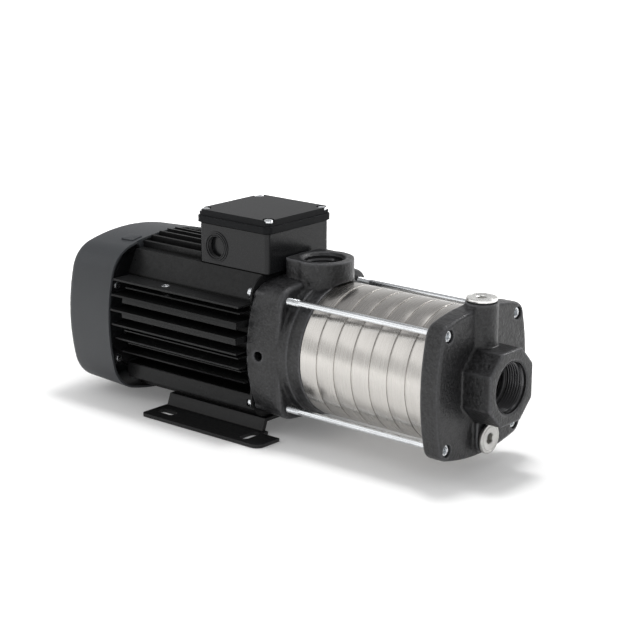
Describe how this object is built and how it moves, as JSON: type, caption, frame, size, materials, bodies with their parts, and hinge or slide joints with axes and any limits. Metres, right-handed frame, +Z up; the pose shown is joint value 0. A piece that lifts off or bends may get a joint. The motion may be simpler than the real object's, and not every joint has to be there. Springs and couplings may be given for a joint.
{
  "type": "horizontal multistage pump",
  "caption": "Horizontal multistage centrifugal pump: finned motor on a sheet foot, steel stage stack between cast housings, threaded end suction and top discharge.",
  "frame": {"origin": "middle of the pump's length, in the vertical plane of the shaft, on the floor under the foot", "axes": "+X along the shaft towards the suction port, +Z up towards the discharge port"},
  "size_m": [0.43, 0.157, 0.1832],
  "materials": {
    "motor_paint": "semi-gloss black paint on die-cast aluminium",
    "foot_paint": "satin black powder coat on steel sheet",
    "cast_black": "black cathodic coat on cast iron, fine grain",
    "cover_plastic": "matt dark grey moulded plastic",
    "fan_plastic": "matt black moulded plastic",
    "box_shell": "smooth dark grey moulded plastic",
    "lid_shell": "smooth dark grey moulded plastic",
    "sleeve_steel": "stainless sheet, turned finish",
    "impeller_steel": "stainless sheet, mill finish",
    "zinc_steel": "bright zinc plate",
    "plug_steel": "plain machined steel, satin",
    "rubber_black": "matt black rubber",
    "ring_plastic": "brown moulded resin",
    "shaft_steel": "ground steel",
    "core_steel": "stacked electrical sheet",
    "copper": "varnished copper winding",
    "brass_parts": "plain brass",
    "seal_faces": "lapped carbide and carbon"
  },
  "bodies": {
    "pump": {"motor_housing": "motor_paint", "rear_end_shield": "motor_paint", "drive_end_shield": "motor_paint", "base_plate": "foot_paint", "discharge_housing": "cast_black", "inlet_housing": "cast_black", "fan_cover": "cover_plastic", "terminal_box": "box_shell", "entry_plug": "box_shell", "inlet_disc": "sleeve_steel", "stage_chamber_1": "sleeve_steel", "stage_chamber_2": "sleeve_steel", "stage_chamber_3": "sleeve_steel", "stage_chamber_4": "sleeve_steel", "stage_chamber_5": "sleeve_steel", "stage_chamber_6": "sleeve_steel", "stage_chamber_7": "sleeve_steel", "stay_bolts": "zinc_steel", "motor_bolts": "zinc_steel", "fan_cover_screws": "zinc_steel", "base_plate_screws": "zinc_steel", "box_gasket": "rubber_black", "chamber_packings": "rubber_black", "neck_rings": "ring_plastic", "terminal_board": "ring_plastic", "bearing_outer_races": "shaft_steel", "bearing_balls": "shaft_steel", "stator_core": "core_steel", "stator_windings": "copper", "terminal_studs": "brass_parts", "earth_screw": "brass_parts", "seal_seat": "seal_faces"},
    "rotor": {"shaft": "shaft_steel", "rotor_core": "core_steel", "fan": "fan_plastic", "bearing_inner_races": "shaft_steel", "seal_ring": "seal_faces", "seal_spring": "shaft_steel", "shaft_sleeves": "impeller_steel", "shaft_nut": "shaft_steel", "impeller_1": "impeller_steel", "impeller_2": "impeller_steel", "impeller_3": "impeller_steel", "impeller_4": "impeller_steel", "impeller_5": "impeller_steel", "impeller_6": "impeller_steel", "impeller_7": "impeller_steel"},
    "priming_seat": {"priming_washer": "rubber_black"},
    "priming_stopper": {"priming_plug": "plug_steel"},
    "drain_seat": {"drain_washer": "rubber_black"},
    "drain_stopper": {"drain_plug": "plug_steel"},
    "lid": {"terminal_lid": "lid_shell", "lid_screws": "zinc_steel"}
  },
  "joints": [
    {"name": "shaft_spin", "type": "hinge", "parent": "pump", "child": "rotor", "pos_m": [0, 0, 0.075], "axis": [1, 0, 0], "continuous": true},
    {"name": "priming_lift", "type": "slide", "parent": "pump", "child": "priming_seat", "axis": [0, 0, 1], "range_m": [0, 0.0125]},
    {"name": "priming_turn", "type": "hinge", "parent": "priming_seat", "child": "priming_stopper", "pos_m": [0.184, 0, 0.1395], "axis": [0, 0, 1], "range_deg": [0, 3240]},
    {"name": "drain_lift", "type": "slide", "parent": "pump", "child": "drain_seat", "axis": [1, 0, 0], "range_m": [0, 0.0125]},
    {"name": "drain_turn", "type": "hinge", "parent": "drain_seat", "child": "drain_stopper", "pos_m": [0.192, 0, 0.029], "axis": [1, 0, 0], "range_deg": [0, 3240]},
    {"name": "lid_lift", "type": "slide", "parent": "pump", "child": "lid", "axis": [0, 0, 1], "range_m": [0, 0.06]}
  ],
  "couplings": [
    {"joint": "priming_lift", "follows": "priming_turn", "m_per_rad": 0.00021279},
    {"joint": "drain_lift", "follows": "drain_turn", "m_per_rad": 0.00021279}
  ]
}
